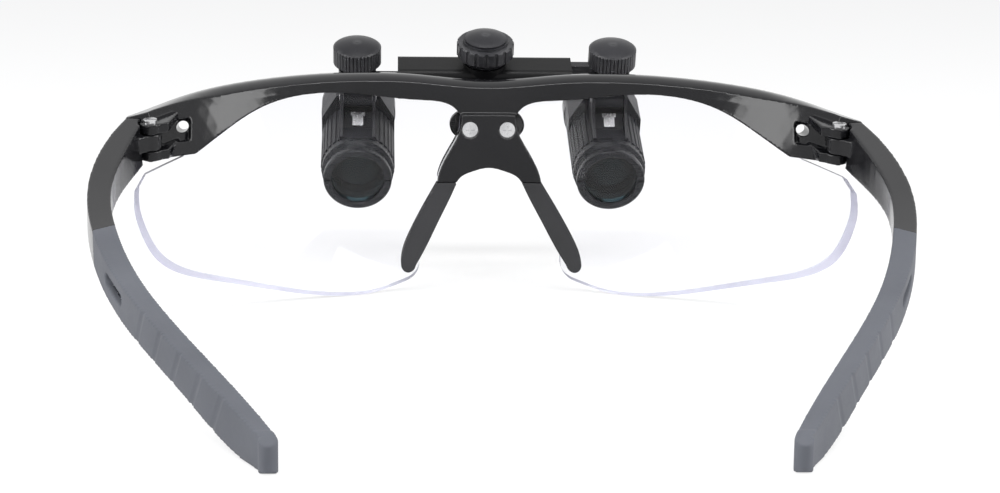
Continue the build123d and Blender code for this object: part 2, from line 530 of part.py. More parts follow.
def pd_knob_ring():
    """Fluted ring that drives the pinion."""
    low = 0.6 + FIT
    ring = turned((0, low), (KNOB_COLLAR_RADIUS - 0.5, low), (KNOB_COLLAR_RADIUS, low + 0.4),
                  (KNOB_COLLAR_RADIUS + 0.2, KNOB_RING_BOTTOM - 0.5),
                  (KNOB_RING_RADIUS - 0.5, KNOB_RING_BOTTOM),
                  (KNOB_RING_RADIUS, KNOB_RING_BOTTOM + 0.4), (KNOB_RING_RADIUS, KNOB_RING_TOP - 0.3),
                  (KNOB_RING_RADIUS - 0.3, KNOB_RING_TOP), (0, KNOB_RING_TOP))
    flute = rod(0.55, low - 1, KNOB_RING_TOP + 1, KNOB_RING_RADIUS + 0.2)
    for index in range(KNOB_FLUTES):
        ring -= Rot(0, 0, 360 / KNOB_FLUTES * (index + 0.5)) * flute
    root = shaft_radius()
    ring -= rod(root + FIT, 0, KNOB_RING_BOTTOM + 1.0)
    return ring - block(-root * 0.75, root * 0.75, -root * 0.75, root * 0.75, 2, KNOB_RING_TOP - 0.9)


def pd_knob_cap():
    """Stepped bead and domed cap on the ring."""
    bead, edge, wide = KNOB_RING_TOP + 0.5, KNOB_CAP_TOP - 0.9, KNOB_CAP_RADIUS + 0.35
    profile = outline(Polyline((0, KNOB_RING_TOP), (wide, KNOB_RING_TOP), (wide, bead),
                               (KNOB_CAP_RADIUS, bead), (KNOB_CAP_RADIUS, edge)),
                      dome_arc(KNOB_CAP_RADIUS, edge, KNOB_CAP_TOP),
                      Line((0, KNOB_CAP_TOP), (0, KNOB_RING_TOP)))
    return revolve(Plane.XZ * profile, Axis.Z)


def slide_bar():
    """Left rack bar: teeth facing the pinion, and the boss that carries a telescope."""
    root_y = BAR_INNER_FACE + ADDENDUM + DEDENDUM
    bar = block(-BAR_INNER_END, HALF_PD, root_y, BAR_OUTER_FACE, BAR_BOTTOM, BAR_TOP)
    plain_start = SLIDE_IN + 1.5 * TOOTH_PITCH
    bar += block(plain_start, HALF_PD, BAR_INNER_FACE, BAR_OUTER_FACE, BAR_BOTTOM, BAR_TOP)
    half_root, half_tip = TOOTH_SHARE * TOOTH_PITCH * 0.80, TOOTH_SHARE * TOOTH_PITCH * 0.30
    count = int(BAR_INNER_END / TOOTH_PITCH)
    for index in range(-count, 2):
        x = (index + 0.5) * TOOTH_PITCH
        if x - half_root > -BAR_INNER_END and x < plain_start:
            tooth = make_face(Polyline((x - half_root, root_y + 0.1), (x - half_root, root_y),
                                       (x - half_tip, BAR_INNER_FACE), (x + half_tip, BAR_INNER_FACE),
                                       (x + half_root, root_y), (x + half_root, root_y + 0.1), close=True))
            bar += Pos(0, 0, BAR_BOTTOM) * extrude(tooth, BAR_SECTION_HEIGHT)
    boss = rod(BOSS_RADIUS, BOSS_BOTTOM, BAR_TOP, HALF_PD)
    shoulder = block(HALF_PD - BOSS_RADIUS, HALF_PD, 0, BAR_OUTER_FACE, BOSS_BOTTOM, BAR_TOP)
    under = block(HALF_PD - BOSS_RADIUS - 0.6, HALF_PD + 9, -9, 9, BAR_BOTTOM - 1, BOSS_BOTTOM)
    return bar - under + boss + shoulder - rod(STUD_RADIUS + FIT, -20, 20, HALF_PD)


# ---- one side's clamp, arm and telescope (local frame, X measured from the telescope axis) --
def clamp_knob():
    bottom, top, wide = CLAMP_KNOB_BOTTOM, CLAMP_KNOB_TOP, CLAMP_KNOB_RADIUS
    profile = outline(Polyline((0, bottom), (wide - 1.1, bottom), (wide, bottom + 0.9), (wide, top - 0.3),
                               (wide - 0.4, top)),
                      dome_arc(wide - 0.4, top, top + CLAMP_DOME),
                      Line((0, top + CLAMP_DOME), (0, bottom)))
    knob = revolve(Plane.XZ * profile, Axis.Z)
    cuts = make_face(Polyline((wide + 0.2, 0.3), (wide - 0.2, 0), (wide + 0.2, -0.3), close=True))
    groove = Pos(0, 0, bottom - 1) * extrude(cuts, top - bottom + 0.9)
    for index in range(CLAMP_KNURLS):
        knob -= Rot(0, 0, 360 / CLAMP_KNURLS * index) * groove
    return knob - rod(STUD_RADIUS + FIT, -9, STUD_TOP + 0.2)


def clamp_washer():
    return rod(3.4, BAR_TOP + 0.02, CLAMP_KNOB_BOTTOM - 0.02) - rod(STUD_RADIUS + FIT, -9, 9)


def clamp_stud():
    return rod(STUD_RADIUS, STUD_BOTTOM, STUD_TOP)


def arm():
    """Disc under the slide bar's boss, and the tongue that the telescope tilts on."""
    disc_top = BOSS_BOTTOM - FIT
    body = rod(BOSS_RADIUS - 0.2, ARM_DISC_BOTTOM, disc_top)
    body += block(-TONGUE_HALF_WIDTH, TONGUE_HALF_WIDTH, -TONGUE_HALF_DEPTH, TONGUE_HALF_DEPTH,
                  -TILT_DROP, ARM_DISC_BOTTOM + 0.1)
    tilt_axis = Location((0, 0, -TILT_DROP), (0, 90, 0))
    body += tilt_axis * rod(TONGUE_END_RADIUS, -TONGUE_HALF_WIDTH, TONGUE_HALF_WIDTH)
    return body - rod(STUD_RADIUS, STUD_BOTTOM, 0) - tilt_axis * rod(TILT_PIN_RADIUS, -9, 9)


def tilt_pin():
    end = CHEEK_HALF_WIDTH + 0.15
    return Location((0, 0, -TILT_DROP), (0, 90, 0)) * rod(TILT_PIN_RADIUS, -end, end)


TELESCOPE = Location((0, EYEPIECE_BACK, -AXIS_DROP), (90, 0, 0))    # Z forwards, Y up, eyepiece at Z = 0


def saddle_side():
    """Z-Y outline of the saddle's cheeks, in the telescope's frame."""
    pin, foot = EYEPIECE_BACK, BARREL_RADIUS - 0.6
    return Polyline((COLLAR_END, foot), (COLLAR_END, BARREL_RADIUS + 0.5), (pin - 3.2, CHEEK_TOP - 3.4),
                    (pin - 2.0, CHEEK_TOP), (pin + 2.4, CHEEK_TOP), (GABLE_START + 1, GABLE_TOP),
                    (GABLE_START + 1, foot), close=True)


def saddle_floor():
    """Z-Y outline of the room between the cheeks: level under the tongue, then sloping to the rear."""
    pin, slope_run = EYEPIECE_BACK, (FLOOR_HEIGHT - BARREL_RADIUS - 0.4) / tan(radians(FLOOR_SLOPE))
    return Polyline((COLLAR_END - 1, BARREL_RADIUS + 0.4), (floor_edge() - slope_run, BARREL_RADIUS + 0.4),
                    (floor_edge(), FLOOR_HEIGHT), (pin + 2.6, FLOOR_HEIGHT), (pin + 3.4, CHEEK_TOP + 3),
                    (COLLAR_END - 1, CHEEK_TOP + 3), close=True)


def across(profile, half_width):
    """Extrude a Z-Y outline evenly to both sides of the telescope's axis."""
    plane = Plane(origin=(-half_width, 0, 0), x_dir=(0, 0, 1), z_dir=(-1, 0, 0))
    return extrude(plane * make_face(profile), -2 * half_width)


def barrel_housing():
    """Barrel tube, gable housing and the saddle that holds the arm's tongue."""
    barrel = rod(BARREL_RADIUS, COLLAR_END, GABLE_START + 1)
    w, s, t, top = GABLE_HALF_WIDTH, GABLE_SHOULDER, GABLE_TOP_HALF_WIDTH, GABLE_TOP
    gable = make_face(Polyline((-w, 0), (-w, s), (-t, top), (t, top), (w, s), (w, 0), close=True)) + Circle(w)
    housing = Pos(0, 0, GABLE_START) * extrude(gable, GABLE_END - GABLE_START)
    saddle = across(saddle_side(), CHEEK_HALF_WIDTH)
    slot = across(saddle_floor(), CHEEK_HALF_WIDTH - CHEEK_WALL)
    body = barrel + housing + saddle - slot - rod(BARREL_BORE, -1, 60)
    tilt_axis = Location((0, AXIS_DROP - TILT_DROP, EYEPIECE_BACK), (0, 90, 0))
    return body - tilt_axis * rod(TILT_PIN_RADIUS + FIT, -9, 9)


def grip_ring():
    """Ribbed sleeve round the barrel, open at the top for the saddle."""
    low, high = COLLAR_END + 0.1, GABLE_START - 0.1
    sleeve = rod(GRIP_RADIUS, low, high) - rod(BARREL_RADIUS + 0.02, 0, 40)
    groove = rod(0.32, low - 1, high + 1, GRIP_RADIUS + 0.05)
    for index in range(GRIP_RIBS):
        sleeve -= Rot(0, 0, 360 / GRIP_RIBS * (index + 0.5)) * groove
    return sleeve - block(-CHEEK_HALF_WIDTH - 0.1, CHEEK_HALF_WIDTH + 0.1, 0, 20, 0, 40)


def eyepiece_ring():
    """Retaining ring, neck and bevelled collar behind the barrel, with two spanner notches."""
    r, n, c = EYE_RING_RADIUS, EYE_NECK_RADIUS, EYE_COLLAR_RADIUS
    seat, thread = EYE_GLASS_RADIUS + FIT, BARREL_BORE - 0.02
    lip, end = EYE_LIP_BORE, COLLAR_END
    body = turned((lip, 0.2), (lip + 0.3, 0), (r - 0.3, 0), (r, 0.3), (r, 1.3), (n, 1.7),
                  (n, COLLAR_START - 0.6), (c, COLLAR_START), (c, end), (thread, end), (thread, end + 1.2),
                  (lip, end + 1.2), (lip, end - 1.0), (seat, end - 1.0), (seat, 0.7), (lip, 0.7))
    notch = block(-20, 20, -0.3, 0.3, -1, 0.35)
    return body - notch


def domed_lens(radius, low, edge_low, edge_high, high):
    """Lens of revolution: surface heights on the axis and at the edge."""
    profile = outline(dome_arc(radius, edge_low, low), Line((0, low), (0, high)),
                      dome_arc(radius, edge_high, high), Line((radius, edge_high), (radius, edge_low)))
    return revolve(Plane.XZ * profile, Axis.Z)


def eyepiece_lens():
    """Negative lens just inside the retaining ring's lip."""
    return domed_lens(EYE_GLASS_RADIUS, 0.3, 0.8, COLLAR_END - 1.05, 2.2)


def objective_start():
    return TELESCOPE_LENGTH - OBJECTIVE_RING_LENGTH


def objective_ring():
    """Screwed ring at the telescope's front that holds the cemented pair of lenses."""
    start, end = objective_start(), TELESCOPE_LENGTH
    thread, seat, r, lip = BARREL_BORE - 0.02, OBJECTIVE_GLASS_RADIUS + FIT, OBJECTIVE_RADIUS, OBJECTIVE_BORE
    return turned((thread, GABLE_END - 2.5), (thread, GABLE_END), (r - 0.4, GABLE_END), (r, start + 0.4),
                  (r, end - 0.4), (r - 0.4, end), (lip + 0.2, end), (lip, end - 0.6), (seat, end - 0.6),
                  (seat, start + 0.3), (thread - 0.8, start + 0.3), (thread - 0.8, GABLE_END - 2.5))


def objective_lens():
    end = TELESCOPE_LENGTH
    return domed_lens(OBJECTIVE_GLASS_RADIUS, end - 3.6, end - 2.6, end - 1.6, end - 0.7)


def flint_lens():
    end = TELESCOPE_LENGTH
    return domed_lens(OBJECTIVE_GLASS_RADIUS, end - 4.4, end - 4.4, end - 2.6, end - 3.6)


def spacer_tube():
    """Tube that keeps the eyepiece lens and the objective ring apart."""
    return rod(BARREL_BORE - 0.06, COLLAR_END + 1.25, GABLE_END - 2.55) - rod(BARREL_BORE - 0.7, 0, 60)


def spring_clip():
    """T-shaped detent spring on the saddle's floor, under the tongue's heel."""
    blade = block(-1.15, 1.15, 0.02, 0.37, -3.3, -0.1) + block(-1.5, 1.5, 0.02, 0.37, -1.0, -0.1)
    return Location((0, FLOOR_HEIGHT, floor_edge()), (-FLOOR_SLOPE, 0, 0)) * blade


def floor_edge():
    """Where the saddle floor starts to slope down, ahead of the eyepiece face."""
    return EYEPIECE_BACK - 1.6


# ---- assembly ------------------------------------------------------------------------------
def side_pieces(side, x):
    """The clamp, arm and telescope of one side."""
    place = LOUPE * Pos(x, 0, 0)
    scope = place * TELESCOPE
    names = {"clamp_knob": clamp_knob, "clamp_washer": clamp_washer, "clamp_stud": clamp_stud,
             "arm": arm, "tilt_pin": tilt_pin}
    optics = {"barrel_housing": barrel_housing, "grip_ring": grip_ring, "eyepiece_ring": eyepiece_ring,
              "eyepiece_lens": eyepiece_lens, "objective_ring": objective_ring,
              "objective_lens": objective_lens, "flint_lens": flint_lens, "spacer_tube": spacer_tube,
              "spring_clip": spring_clip}
    pieces = {f"{name}_{side}": place * make() for name, make in names.items()}
    pieces.update({f"{name}_{side}": scope * make() for name, make in optics.items()})
    return pieces


def assembly():
    """Every piece by name, in the building frame."""
    pieces = {"front_frame": front_frame(), "mount_bracket": mount_bracket(), "mount_screws": mount_screws(),
              "flip_pin": flip_pin(), "flip_washers": flip_washers()}
    handed = {"lens": lens(), "nose_pad": nose_pad(), "hinge_pin": hinge_pin(), "temple": temple(),
              "temple_strip": temple_strip(), "temple_sleeve": temple_sleeve()}
    for name, shape in handed.items():
        pieces[f"{name}_left"] = shape
        pieces[f"{name}_right"] = mirrored(shape)
    pieces["beam_housing"] = LOUPE * beam_housing()
    pieces["beam_cover"] = LOUPE * beam_cover()
    pieces["beam_cover_screws"] = [LOUPE * screw for screw in beam_cover_screws()]
    pieces["pd_knob_ring"] = LOUPE * pd_knob_ring()
    pieces["pd_knob_cap"] = LOUPE * pd_knob_cap()
    pieces["pd_pinion_shaft"] = LOUPE * pd_pinion_shaft()
    pieces["slide_bar_left"] = LOUPE * slide_bar()
    pieces["slide_bar_right"] = LOUPE * Rot(0, 0, 180) * slide_bar()
    pieces.update(side_pieces("left", HALF_PD))
    pieces.update(side_pieces("right", -HALF_PD))
    return pieces


def as_compound(piece):
    return Compound(children=list(piece)) if isinstance(piece, list) else piece


def middle_y(pieces):
    """Y of the middle of the whole object, in the building frame."""
    boxes = [as_compound(piece).bounding_box() for piece in pieces.values()]
    return (min(box.min.Y for box in boxes) + max(box.max.Y for box in boxes)) / 2


def main():
    pieces = assembly()
    shift = Pos(0, -middle_y(pieces), 0)
    os.makedirs("parts", exist_ok=True)
    for name, piece in pieces.items():
        export_step(shift * as_compound(piece), f"parts/{name}.step")


if __name__ == "__main__":
    main()
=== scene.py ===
"""Looks of the flip-up dental loupes: materials, finished pieces, light and camera.

Metres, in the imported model's frame: +X is the wearer's left, -Y is the way the wearer looks,
+Z is up. Finished pieces start from the CAD solids they stand for, so they keep their places.
"""
import json
import math

import bmesh
import bpy
from mathutils import Matrix, Vector


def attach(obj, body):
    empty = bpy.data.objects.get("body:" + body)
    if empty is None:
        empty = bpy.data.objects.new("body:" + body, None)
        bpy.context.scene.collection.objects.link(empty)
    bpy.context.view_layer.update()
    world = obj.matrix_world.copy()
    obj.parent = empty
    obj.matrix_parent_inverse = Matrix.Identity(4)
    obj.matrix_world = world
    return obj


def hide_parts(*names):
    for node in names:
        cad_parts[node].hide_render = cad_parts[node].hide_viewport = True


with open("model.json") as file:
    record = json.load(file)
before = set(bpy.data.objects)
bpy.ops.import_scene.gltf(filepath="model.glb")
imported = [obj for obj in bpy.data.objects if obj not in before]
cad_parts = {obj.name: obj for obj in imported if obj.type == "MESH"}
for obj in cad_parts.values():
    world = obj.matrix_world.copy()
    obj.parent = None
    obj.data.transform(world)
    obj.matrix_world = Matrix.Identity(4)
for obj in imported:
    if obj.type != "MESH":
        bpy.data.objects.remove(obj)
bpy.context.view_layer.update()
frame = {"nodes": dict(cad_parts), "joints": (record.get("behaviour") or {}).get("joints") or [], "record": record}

SIDES = (("left", 1), ("right", -1))
joints = {joint["name"]: joint for joint in frame["joints"]}
HINGE = Vector(joints["temple_fold_left"]["pos_m"])

# ---- camera --------------------------------------------------------------------------------
CAMERA_FROM_HINGE = Vector((-0.0423, 0.43950, 0.0575))
CAMERA_YAW, CAMERA_PITCH, CAMERA_ROLL = 3.23, 10.03, 0.73    # degrees
CAMERA_LENS, CAMERA_SENSOR = 82.8, 36.0


def place_camera():
    yaw, pitch, roll = (math.radians(v) for v in (CAMERA_YAW, CAMERA_PITCH, CAMERA_ROLL))
    ahead = Vector((-math.sin(yaw) * math.cos(pitch), -math.cos(yaw) * math.cos(pitch), -math.sin(pitch)))
    right = Vector((-math.cos(yaw), math.sin(yaw), 0))
    up = right.cross(ahead)
    right, up = (math.cos(roll) * right + math.sin(roll) * up, math.cos(roll) * up - math.sin(roll) * right)
    camera = bpy.data.cameras.new("camera")
    camera.lens, camera.sensor_width, camera.clip_start = CAMERA_LENS, CAMERA_SENSOR, 0.01
    holder = bpy.data.objects.new("camera", camera)
    bpy.context.scene.collection.objects.link(holder)
    turn = Matrix((right, up, -ahead)).transposed()
    holder.matrix_world = Matrix.Translation(HINGE + CAMERA_FROM_HINGE) @ turn.to_4x4()
    bpy.context.scene.camera = holder


# ---- materials -----------------------------------------------------------------------------
def new_material(name):
    material = bpy.data.materials.new(name)
    material.use_nodes = True
    tree = material.node_tree
    return material, tree.nodes, tree.links, tree.nodes["Principled BSDF"]


def object_noise(nodes, links, scale, detail=4.0, rough=0.55, stretch=(1, 1, 1)):
    """Noise in the piece's own metres; scale is in features per metre."""
    place = nodes.new("ShaderNodeTexCoord")
    mapping = nodes.new("ShaderNodeMapping")
    mapping.inputs["Scale"].default_value = stretch
    texture = nodes.new("ShaderNodeTexNoise")
    texture.inputs["Scale"].default_value = scale
    texture.inputs["Detail"].default_value = detail
    texture.inputs["Roughness"].default_value = rough
    links.new(place.outputs["Object"], mapping.inputs["Vector"])
    links.new(mapping.outputs["Vector"], texture.inputs["Vector"])
    return texture.outputs["Fac"]


def ranged(nodes, links, value, low, high, low_from=0.3, high_from=0.7):
    node = nodes.new("ShaderNodeMapRange")
    node.inputs["From Min"].default_value = low_from
    node.inputs["From Max"].default_value = high_from
    node.inputs["To Min"].default_value = low
    node.inputs["To Max"].default_value = high
    links.new(value, node.inputs["Value"])
    return node.outputs["Result"]


def mixed(nodes, links, factor, first, second):
    node = nodes.new("ShaderNodeMix")
    node.data_type = "RGBA"
    links.new(factor, node.inputs["Factor"])
    node.inputs["A"].default_value = (*first, 1)
    node.inputs["B"].default_value = (*second, 1)
    return node.outputs["Result"]


WORN_POINTINESS = (0.52, 0.62)     # from a blunt edge to one that wears most


def solid(name, dark, light, rough, spread=0.05, patch=60, grain=2500, bump=0.1, depth=0.00004,
          metallic=0.0, specular=0.5, stretch=(1, 1, 1), wear=0.0, wear_color=(0.2, 0.2, 0.2)):
    """A moulded, machined or rubber surface: mottled colour, uneven gloss and a fine grain."""
    material, nodes, links, shader = new_material(name)
    patches = object_noise(nodes, links, patch, 3.0)
    color = mixed(nodes, links, ranged(nodes, links, patches, 0, 1), dark, light)
    if wear:
        edges = nodes.new("ShaderNodeNewGeometry").outputs["Pointiness"]
        worn = nodes.new("ShaderNodeMath")
        worn.operation = "MULTIPLY"
        links.new(ranged(nodes, links, edges, 0, wear, *WORN_POINTINESS), worn.inputs[0])
        links.new(ranged(nodes, links, object_noise(nodes, links, 400), 0.2, 1), worn.inputs[1])
        blend = nodes.new("ShaderNodeMix")
        blend.data_type = "RGBA"
        links.new(worn.outputs[0], blend.inputs["Factor"])
        links.new(color, blend.inputs["A"])
        blend.inputs["B"].default_value = (*wear_color, 1)
        color = blend.outputs["Result"]
    links.new(color, shader.inputs["Base Color"])
    gloss = object_noise(nodes, links, patch * 4, 5.0, stretch=stretch)
    links.new(ranged(nodes, links, gloss, rough - spread, rough + spread), shader.inputs["Roughness"])
    if bump:
        bumps = nodes.new("ShaderNodeBump")
        bumps.inputs["Strength"].default_value = bump
        bumps.inputs["Distance"].default_value = depth
        links.new(object_noise(nodes, links, grain, 3.0, stretch=stretch), bumps.inputs["Height"])
        links.new(bumps.outputs["Normal"], shader.inputs["Normal"])
    shader.inputs["Metallic"].default_value = metallic
    shader.inputs["Specular IOR Level"].default_value = specular
    return material


GLASS_SPECULAR = 0.15


def glass(name, tint, ior, smear):
    """Coated glass or plastic with faint smears; lamps shine through it onto what is behind.

    The index is written low, which keeps reflections weak, as a coating does.
    """
    material, nodes, links, shader = new_material(name)
    shader.inputs["Base Color"].default_value = (*tint, 1)
    shader.inputs["Transmission Weight"].default_value = 1
    shader.inputs["IOR"].default_value = ior
    shader.inputs["Specular IOR Level"].default_value = GLASS_SPECULAR
    smears = object_noise(nodes, links, 90, 6.0, 0.7)
    links.new(ranged(nodes, links, smears, 0, smear, 0.45, 0.8), shader.inputs["Roughness"])
    clear = nodes.new("ShaderNodeBsdfTransparent")
    clear.inputs["Color"].default_value = (*(c ** 0.5 for c in tint), 1)
    rays = nodes.new("ShaderNodeLightPath")
    mix = nodes.new("ShaderNodeMixShader")
    links.new(rays.outputs["Is Shadow Ray"], mix.inputs["Fac"])
    links.new(shader.outputs["BSDF"], mix.inputs[1])
    links.new(clear.outputs["BSDF"], mix.inputs[2])
    links.new(mix.outputs["Shader"], nodes["Material Output"].inputs["Surface"])
    return material


GLOSS = solid("gloss_black", (0.004, 0.004, 0.005), (0.007, 0.007, 0.008), 0.11, 0.02, grain=700,
              bump=0.04, specular=0.30)
TEMPLE = solid("temple_black", (0.005, 0.005, 0.006), (0.009, 0.009, 0.010), 0.15, 0.03, grain=900,
               bump=0.05, specular=0.34)
RUBBER = solid("sleeve_rubber", (0.072, 0.076, 0.088), (0.098, 0.103, 0.118), 0.60, 0.06, grain=5200,
               bump=0.35, depth=0.00006, specular=0.22)
PAD = solid("pad_rubber", (0.016, 0.016, 0.017), (0.026, 0.026, 0.028), 0.62, 0.05, grain=4800, bump=0.3,
            depth=0.00005, specular=0.16)
HOUSING = solid("housing_plastic", (0.012, 0.012, 0.014), (0.021, 0.021, 0.024), 0.40, 0.06, grain=4200,
                bump=0.25, depth=0.00004, specular=0.15)
BEAM = solid("beam_plastic", (0.005, 0.005, 0.005), (0.009, 0.009, 0.010), 0.36, 0.06, grain=4200, bump=0.2,
             specular=0.12)
KNOB = solid("knob_black", (0.010, 0.010, 0.012), (0.019, 0.019, 0.022), 0.32, 0.05, grain=3800, bump=0.2,
             specular=0.22, wear=0.3, wear_color=(0.16, 0.16, 0.165))
ANODISED = solid("anodised_black", (0.010, 0.010, 0.012), (0.018, 0.019, 0.021), 0.28, 0.05, grain=3500,
                 bump=0.15, metallic=0.1, specular=0.22, stretch=(1, 1, 8))
STEEL = solid("bright_steel", (0.50, 0.50, 0.51), (0.68, 0.68, 0.69), 0.24, 0.08, patch=400, grain=6000,
              bump=0.15, depth=0.00002, metallic=1.0)
BRASS = solid("machined_brass", (0.55, 0.40, 0.17), (0.68, 0.52, 0.25), 0.30, 0.06, patch=300, grain=5000,
              bump=0.1, depth=0.00002, metallic=1.0)
WASHER = solid("washer_plastic", (0.05, 0.05, 0.05), (0.09, 0.09, 0.09), 0.5, 0.05)
CLEAR = glass("clear_polycarbonate", (0.965, 0.965, 0.985), 1.18, 0.015)
OPTIC = glass("coated_glass", (0.33, 0.43, 0.46), 1.3, 0.01)
EDGE = solid("frosted_lens_edge", (0.30, 0.30, 0.36), (0.40, 0.40, 0.46), 0.45, 0.06, grain=3000, bump=0.1,
             specular=0.5)

NODE_MATERIALS = {
    "lens": CLEAR, "hinge_pin": STEEL, "mount_bracket": BEAM, "mount_screws": STEEL, "flip_pin": STEEL,
    "flip_washers": WASHER, "temple_strip": STEEL, "beam_housing": BEAM, "beam_cover": BEAM,
    "beam_cover_screws": STEEL, "pd_knob_ring": KNOB, "pd_knob_cap": KNOB, "pd_pinion_shaft": BRASS,
    "slide_bar": ANODISED, "clamp_knob": KNOB, "clamp_washer": WASHER, "clamp_stud": STEEL, "arm": HOUSING,
    "tilt_pin": STEEL, "barrel_housing": HOUSING, "grip_ring": HOUSING, "eyepiece_ring": ANODISED,
    "eyepiece_lens": OPTIC, "objective_ring": ANODISED, "objective_lens": OPTIC, "flint_lens": OPTIC,
    "spacer_tube": HOUSING, "spring_clip": STEEL, "front_frame": GLOSS, "nose_pad": PAD, "temple": TEMPLE,
    "temple_sleeve": RUBBER,
}


def dress(piece, material):
    piece.data.materials.clear()
    piece.data.materials.append(material)


def body_of(node):
    return next(body for body, nodes in frame["record"]["behaviour"]["bodies"].items() if node in nodes)


def finished(name, mesh, material, *nodes):
    """Links a finished piece, gives it its material, hangs it on its body and hides the CAD nodes it stands for.
    """
    piece = bpy.data.objects.new(name, mesh)
    bpy.context.scene.collection.objects.link(piece)
    dress(piece, material)
    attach(piece, body_of(nodes[0]))
    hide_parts(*nodes)
    return piece


def rounded_copy(nodes, voxel, rounds):
    """One smooth mesh from CAD solids, with the edges rounded as moulding leaves them."""
    both = bmesh.new()
    for node in nodes:
        both.from_mesh(frame["nodes"][node].data)
    mesh = bpy.data.meshes.new("raw")
    both.to_mesh(mesh)
    both.free()
    piece = bpy.data.objects.new("raw", mesh)
    bpy.context.scene.collection.objects.link(piece)
    remesh = piece.modifiers.new("remesh", "REMESH")
    remesh.mode, remesh.voxel_size, remesh.use_smooth_shade = "VOXEL", voxel, True
    smooth = piece.modifiers.new("smooth", "SMOOTH")
    smooth.factor, smooth.iterations = 0.5, rounds
    result = bpy.data.meshes.new_from_object(piece.evaluated_get(bpy.context.evaluated_depsgraph_get()))
    bpy.data.objects.remove(piece)
    result.materials.clear()
    return result


def carve(mesh, depth_at):
    """Moves each vertex inwards along its normal by depth_at(place, normal)."""
    normals = [v.normal.copy() for v in mesh.vertices]
    for vertex, normal in zip(mesh.vertices, normals):
        depth = depth_at(vertex.co, normal)
        if depth:
            vertex.co -= normal * depth
    mesh.update()


def groove(distance, half_width, depth):
    """Depth of a round-bottomed groove at a distance from its middle."""
    share = abs(distance) / half_width
    return depth * (1 - share * share) ** 2 if share < 1 else 0.0


FRAME_VOXEL, FRAME_ROUNDS = 0.00022, 5       # voxel size, and rounds of smoothing
WRAP_CENTRE = Vector((0, HINGE.y + 0.0444, 0.055))
WRAP_OUTER, FRONT_DEPTH = 0.0875, 0.0050     # outer face of the brow about the wrap centre, and its depth
CROWN_START = 0.25            # share of the brow's depth that stays level, from the front
CROWN_DROP, CROWN_HEIGHT = 0.0014, 0.0032    # fall at the rear edge, and how far down it is felt
CROWN_END, CROWN_FADE = 0.066, 0.012         # half width that is crowned, and its run-out
BROW_BIN = 0.002              # width of the strips that the top's height is read in


def crown(mesh):
    """Rounds the brow bar's top down towards its rear edge."""
    tops = {}
    for vertex in mesh.vertices:
        place = int(abs(vertex.co.x) / BROW_BIN)
        tops[place] = max(tops.get(place, 0.0), vertex.co.z)

    def top_at(x):
        place = abs(x) / BROW_BIN - 0.5
        low = max(0, int(place))
        share = min(1.0, max(0.0, place - low))
        return tops[low] * (1 - share) + tops.get(low + 1, tops[low]) * share

    for vertex in mesh.vertices:
        below = max(0.0, top_at(vertex.co.x) - vertex.co.z)
        back = min(1.0, (WRAP_OUTER - (vertex.co - WRAP_CENTRE).length) / FRONT_DEPTH)
        fade = min(1.0, max(0.0, (CROWN_END - abs(vertex.co.x)) / CROWN_FADE))
        if below < CROWN_HEIGHT and back > CROWN_START and fade:
            share = (back - CROWN_START) / (1 - CROWN_START)
            vertex.co.z -= CROWN_DROP * fade * share * share * (1 - below / CROWN_HEIGHT)
    mesh.update()


def make_front():
    mesh = rounded_copy(["front_frame"], FRAME_VOXEL, FRAME_ROUNDS)
    crown(mesh)
    finished("front_shell", mesh, GLOSS, "front_frame")


TEMPLE_VOXEL, TEMPLE_ROUNDS = 0.00022, 6
SEAM_X, SEAM_BEHIND, SEAM_Z = 0.0710, 0.0405, 0.020    # a point on the sleeve's front edge
SEAM_SLANT, SEAM_LEAN = 0.55, 0.25
GROOVES, GROOVE_START, GROOVE_PITCH = 5, 0.072, 0.0085
GROOVE_HALF_WIDTH, GROOVE_DEPTH = 0.0012, 0.00016
GROOVE_LEAN, GROOVE_MIDDLE_Z = 0.6, 0.010
FACES_OUT = 0.25              # grooves are cut where the normal points outwards by at least this


def make_temple(side, sign):
    """The temple's front half and its sleeve, cut from one rounded form at a slanted seam."""
    nodes = [f"temple{layer}_{side}" for layer in ("", "_sleeve", "_strip")]
    whole = rounded_copy(nodes, TEMPLE_VOXEL, TEMPLE_ROUNDS)
    seam = Vector((sign * SEAM_X, HINGE.y + SEAM_BEHIND, SEAM_Z))
    across = Vector((-sign * SEAM_SLANT, 1, SEAM_LEAN)).normalized()

    def part(keep_front):
        bm = bmesh.new()
        bm.from_mesh(whole)
        everything = bm.verts[:] + bm.edges[:] + bm.faces[:]
        bmesh.ops.bisect_plane(bm, geom=everything, plane_co=seam, plane_no=across,
                               clear_outer=keep_front, clear_inner=not keep_front)
        rim = [e for e in bm.edges if e.is_boundary]
        bmesh.ops.holes_fill(bm, edges=rim, sides=0)
        mesh = bpy.data.meshes.new("part")
        bm.to_mesh(mesh)
        bm.free()
        for polygon in mesh.polygons:
            polygon.use_smooth = True
        return mesh

    def ribs(place, normal):
        behind = place.y - HINGE.y
        along = behind - GROOVE_LEAN * (place.z - GROOVE_MIDDLE_Z)
        depth = 0.0
        if normal.x * sign > FACES_OUT:
            for index in range(GROOVES):
                middle = GROOVE_START + GROOVE_PITCH * index
                depth += groove(along - middle, GROOVE_HALF_WIDTH, GROOVE_DEPTH)
        return depth

    sleeve = part(False)
    carve(sleeve, ribs)
    finished(f"temple_front_{side}", part(True), TEMPLE, f"temple_{side}")
    finished(f"sleeve_{side}", sleeve, RUBBER, f"temple_sleeve_{side}")


PAD_VOXEL, PAD_ROUNDS = 0.00016, 5


def make_pad(side):
    mesh = rounded_copy([f"nose_pad_{side}"], PAD_VOXEL, PAD_ROUNDS)
    finished(f"pad_{side}", mesh, PAD, f"nose_pad_{side}")


EDGE_DOT = 0.93               # below this, a lens face is part of the sawn edge


